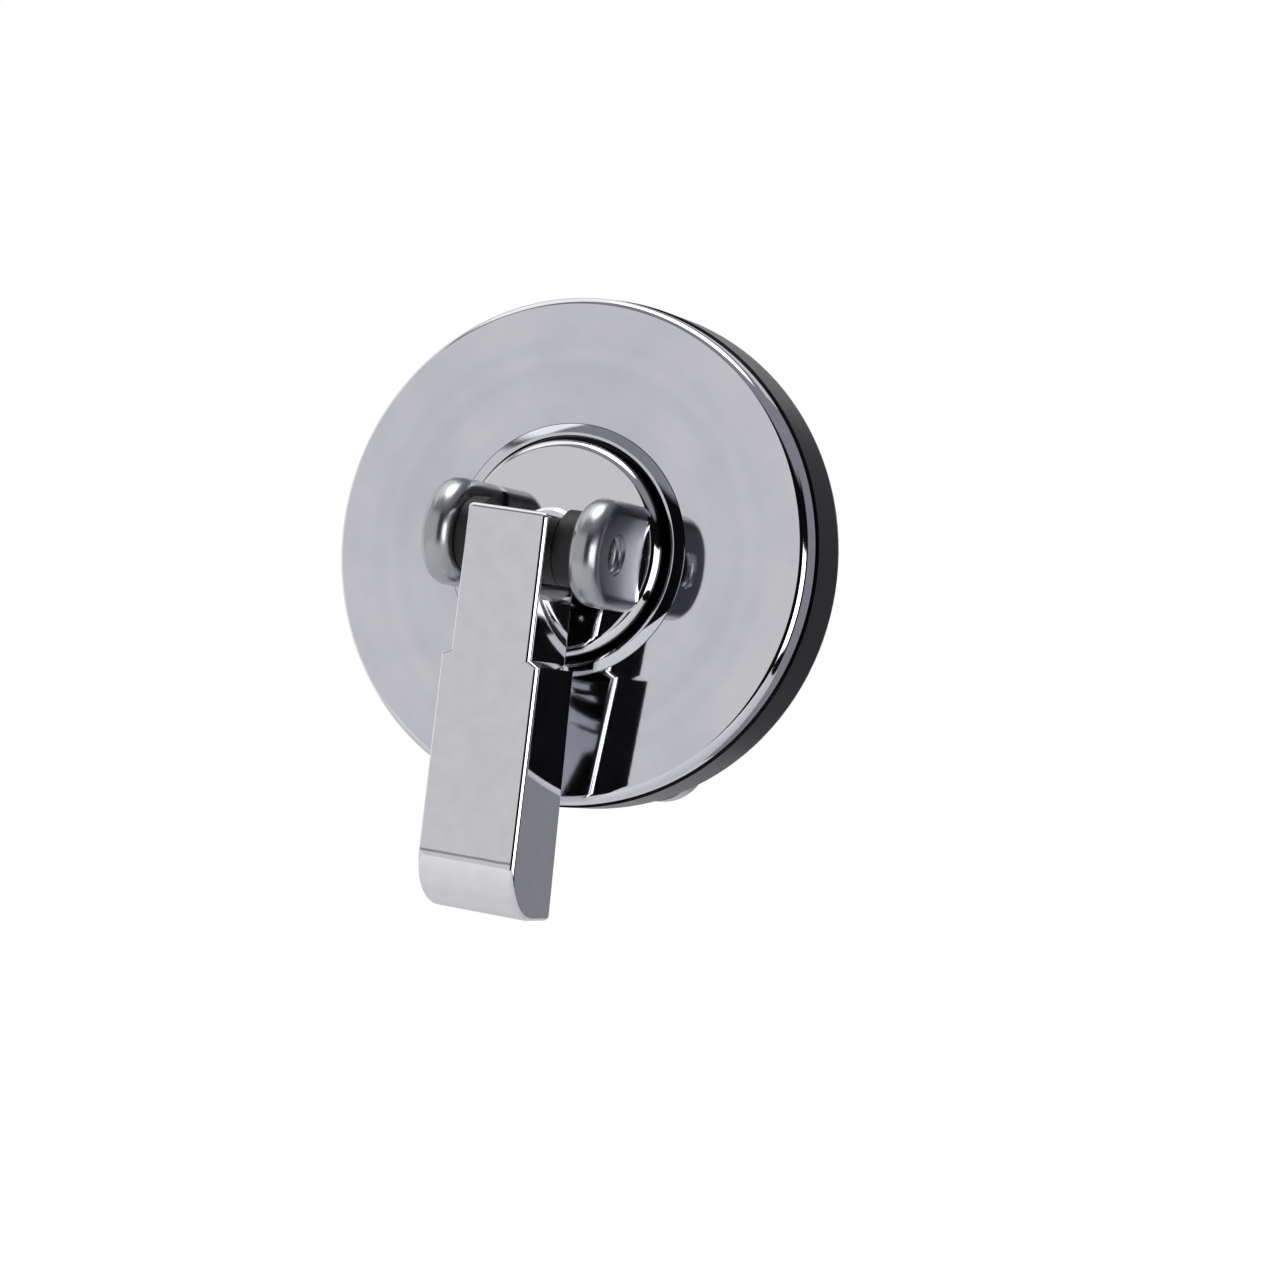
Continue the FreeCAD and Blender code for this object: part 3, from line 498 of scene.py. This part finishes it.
def makeZinc(name, colour, p):
    material, tree, shader = newMaterial(name, {"Base Color": linear(colour), "Metallic": 1.0})
    place = addNode(tree, "ShaderNodeTexCoord").outputs["Object"]
    cloud = addNode(tree, "ShaderNodeTexNoise", {
        "Vector": place, "Scale": 1 / (p["cloudSize"] * mm), "Detail": 5.0})
    dull = addNode(tree, "ShaderNodeMapRange", {
        "Value": cloud.outputs[0], "To Min": p["rough"][0], "To Max": p["rough"][1]})
    tree.links.new(dull.outputs[0], shader.inputs["Roughness"])
    grain = addNode(tree, "ShaderNodeTexNoise", {
        "Vector": place, "Scale": 1 / (p["grainSize"] * mm), "Detail": 2.0})
    bump = addNode(tree, "ShaderNodeBump", {
        "Height": grain.outputs[0], "Strength": p["grainStrength"], "Distance": p["grainDepth"] * mm})
    tree.links.new(bump.outputs[0], shader.inputs["Normal"])
    return material


# Moulded nylon: milky and half matt. Sintered bronze: warm metal, dull with tiny pores.
nylon = {"metallic": 0.0, "rough": (0.38, 0.52), "patternSize": 1.5}
bronze = {"metallic": 1.0, "rough": (0.35, 0.55), "patternSize": 0.2}


def makeDull(name, colour, p):
    material, tree, shader = newMaterial(name, {
        "Base Color": linear(colour), "Metallic": p["metallic"]})
    place = addNode(tree, "ShaderNodeTexCoord").outputs["Object"]
    cloud = addNode(tree, "ShaderNodeTexNoise", {"Vector": place, "Scale": 1 / (p["patternSize"] * mm)})
    dull = addNode(tree, "ShaderNodeMapRange", {
        "Value": cloud.outputs[0], "To Min": p["rough"][0], "To Max": p["rough"][1]})
    tree.links.new(dull.outputs[0], shader.inputs["Roughness"])
    return material


smallPartRough = (0.05, 0.12)     # pin and screw are plated in a barrel, so they shine less

finishes = {
    "plate_chrome": makePlateChrome("polishedChromePlate", plateChrome),
    "hub_chrome": makeHubChrome("castingChrome", hubChrome),
    "lever_chrome": makeLeverChrome("leverChrome", leverChrome),
    "pin_chrome": makeChrome("pinChrome", smallPartRough, chrome),
    "screw_chrome": makeChrome("screwChrome", smallPartRough, chrome),
    "gasket_rubber": makeRubber("mouldedRubber", "#040405", 0.24, rubber),
    "seal_rubber": makeRubber("nitrileRubber", "#1A1A1A", 0.4, rubber),
    "zinc_steel": makeZinc("brightZincSteel", "#C9CCCF", zinc),
    "spring_steel": makeZinc("springSteel", "#8C8E92", zinc),
    "nylon": makeDull("naturalNylon", "#E6E4DA", nylon),
    "black_nylon": makeDull("blackNylon", "#0A0A0B", nylon),
    "bronze": makeDull("sinteredBronze", "#B08A50", bronze),
}
for entry in frame["record"]["subparts"]:
    cad = nodes[entry["node"]]
    cad.data.materials.clear()
    cad.data.materials.append(finishes[entry["material_slot"]])
print("materials set")

# Rose plate: spun disc with a raised collar round the hub. Places along the axis count from
# the panel's front, and the clasp's front is negative.
rose = {
    "face": -10.2, "rear": -7.2, "bore": 8.54, "radius": 25.0, "edge": 0.9, "chamfer": 0.3,
    "collarInner": 11.2, "collarTop": 11.55, "collarFoot": 12.5, "collarHeight": 0.55,
    "recess": 14.55, "recessFloor": -8.6,
    "innerEdge": 0.1,                            # radius of the collar's inner edge
    "topEdge": (0.04, 0.02), "footEdge": (0.04, 0.03),    # how far the bevel's ends are broken
    "strip": 0.02, "footStrip": 0.06,            # narrow strips that keep the faces flat
    "steps": 240,
}


def makeRose(r):
    collar = r["face"] - r["collarHeight"]
    rim = r["radius"] - r["edge"]
    points = [(r["bore"], r["face"]), (r["collarInner"], r["face"])]
    points += roundCorner(r["collarInner"] + r["innerEdge"], collar + r["innerEdge"], r["innerEdge"],
                          180, 270, 4)
    points += [
        (r["collarInner"] + r["innerEdge"] + r["strip"], collar), (r["collarTop"] - r["strip"], collar),
        (r["collarTop"] + r["topEdge"][0], collar + r["topEdge"][1]),
        (r["collarFoot"] - r["footEdge"][0], r["face"] - r["footEdge"][1]),
        (r["collarFoot"], r["face"]), (r["collarFoot"] + r["footStrip"], r["face"]),
        (rim - r["strip"], r["face"])]
    points += roundCorner(rim, r["face"] + r["edge"], r["edge"], -90, 0)
    points += [
        (r["radius"], r["rear"] - r["chamfer"]), (r["radius"] - r["chamfer"], r["rear"]),
        (r["recess"], r["rear"]), (r["recess"], r["recessFloor"]), (r["bore"], r["recessFloor"])]
    disc = turnedPiece("roseDisc", points, r["steps"])
    finishPiece(disc, "housing", "plate_chrome", "rose_plate")


makeRose(rose)
print("rose plate made")

# Threads are drawn as rings, because their small lead does not show; a crest lies between these
# shares of the pitch
crestFrom, crestTo = 0.44, 0.56


def threadPoints(t, start, end):
    # Crest and root points of the thread between two places along the axis
    points, place = [], start
    while place + t["pitch"] < end:
        points += [(t["root"], place), (t["crest"], place + crestFrom * t["pitch"]),
                   (t["crest"], place + crestTo * t["pitch"])]
        place += t["pitch"]
    return points + [(t["root"], place)]


# Barrel: flange and neck inside the seat, then the threaded tube with its two flats and the
# wall that stops the turn, open on one side
barrel = {
    "bore": 8.1, "flange": 14.5, "flangeFront": -8.6, "seat": -7.2, "neck": 10.5,
    "register": 11.0, "registerEnd": 2.8, "crest": 10.8, "root": 9.95, "pitch": 1.5,
    "length": 19.0, "flat": 10.5,
    "wallInner": 9.2, "wallEnd": 20.9, "wallStart": 210.0, "wallSweep": 240.0,
    "wallCrestFrom": 0.75, "wallCrestTo": 0.93, "wallEdge": 0.1,    # crest counted from the tube's end
    "steps": 128, "wallSteps": 96,
}


def makeBarrel(b):
    front = turnedPiece("barrelFront", [
        (b["bore"], b["flangeFront"]), (b["flange"], b["flangeFront"]), (b["flange"], b["seat"]),
        (b["neck"], b["seat"]), (b["neck"], 0), (b["bore"], 0)], b["steps"])
    wall = turnedPiece("barrelWall", [
        (b["wallInner"], b["length"]), (b["root"], b["length"]),
        (b["crest"], b["length"] + b["wallCrestFrom"]), (b["crest"], b["length"] + b["wallCrestTo"]),
        (b["root"] + 2 * b["wallEdge"], b["wallEnd"] - b["wallEdge"]),
        (b["root"] + b["wallEdge"], b["wallEnd"]), (b["wallInner"], b["wallEnd"])],
        b["wallSteps"], b["wallSweep"], b["wallStart"])
    tube = [(b["bore"], 0), (b["register"], 0), (b["register"], b["registerEnd"])]
    tube += threadPoints(b, b["registerEnd"], b["length"])
    tube += [(b["root"], b["length"]), (b["bore"], b["length"])]
    rear = turnedPiece("barrelTube", tube, b["steps"])
    bpy.ops.object.mode_set(mode="EDIT")
    for side in (1, -1):
        bpy.ops.mesh.select_all(action="SELECT")
        bpy.ops.mesh.bisect(plane_co=(side * b["flat"] * mm, 0, 0), plane_no=(side, 0, 0),
                            use_fill=True, clear_outer=True)
    bpy.ops.object.mode_set(mode="OBJECT")
    finishPiece(joinPieces("threadedBarrel", [front, wall, rear]), "housing", "zinc_steel", "barrel")


makeBarrel(barrel)
print("barrel made")

# Spindle: square bar, drilled for the screw, with a threaded stud for the pawl's nut
spindle = {
    "start": 7.95, "barEnd": 23.55, "width": 7.0,
    "drill": 2.0, "drillEnd": 18.75, "drillPast": 1.0, "drillSides": 48,
    "crest": 3.0, "root": 2.45, "pitch": 1.0, "sunk": 0.1, "end": 32.0, "tip": 0.4, "steps": 64,
}


def makeSpindle(s):
    bpy.ops.mesh.primitive_cube_add(size=mm, location=(0, (s["start"] + s["barEnd"]) / 2 * mm, 0))
    bar = bpy.context.object
    bar.scale = (s["width"], s["barEnd"] - s["start"], s["width"])
    bpy.ops.object.transform_apply(location=True, rotation=True, scale=True)
    depth = s["drillEnd"] - s["start"] + s["drillPast"]
    bpy.ops.mesh.primitive_cylinder_add(
        vertices=s["drillSides"], radius=s["drill"] * mm, depth=depth * mm,
        location=(0, (s["drillEnd"] - depth / 2) * mm, 0), rotation=(math.radians(90), 0, 0))
    cutter = bpy.context.object
    hole = bar.modifiers.new("drilledHole", "BOOLEAN")
    hole.operation, hole.object = "DIFFERENCE", cutter
    bpy.ops.object.select_all(action="DESELECT")
    bar.select_set(True)
    bpy.context.view_layer.objects.active = bar
    bpy.ops.object.modifier_apply(modifier=hole.name)
    bpy.data.objects.remove(cutter)
    foot = s["barEnd"] - s["sunk"]
    points = [(0, foot), (s["root"], foot)] + threadPoints(s, s["barEnd"], s["end"] - s["tip"])
    points += [(s["root"], s["end"] - s["tip"] / 2), (s["root"] - s["tip"] / 2, s["end"]), (0, s["end"])]
    stud = turnedPiece("stud", points, s["steps"], closed=False)
    finishPiece(joinPieces("threadedSpindle", [bar, stud]), "hub_body", "zinc_steel", "spindle")


makeSpindle(spindle)
print("spindle made")
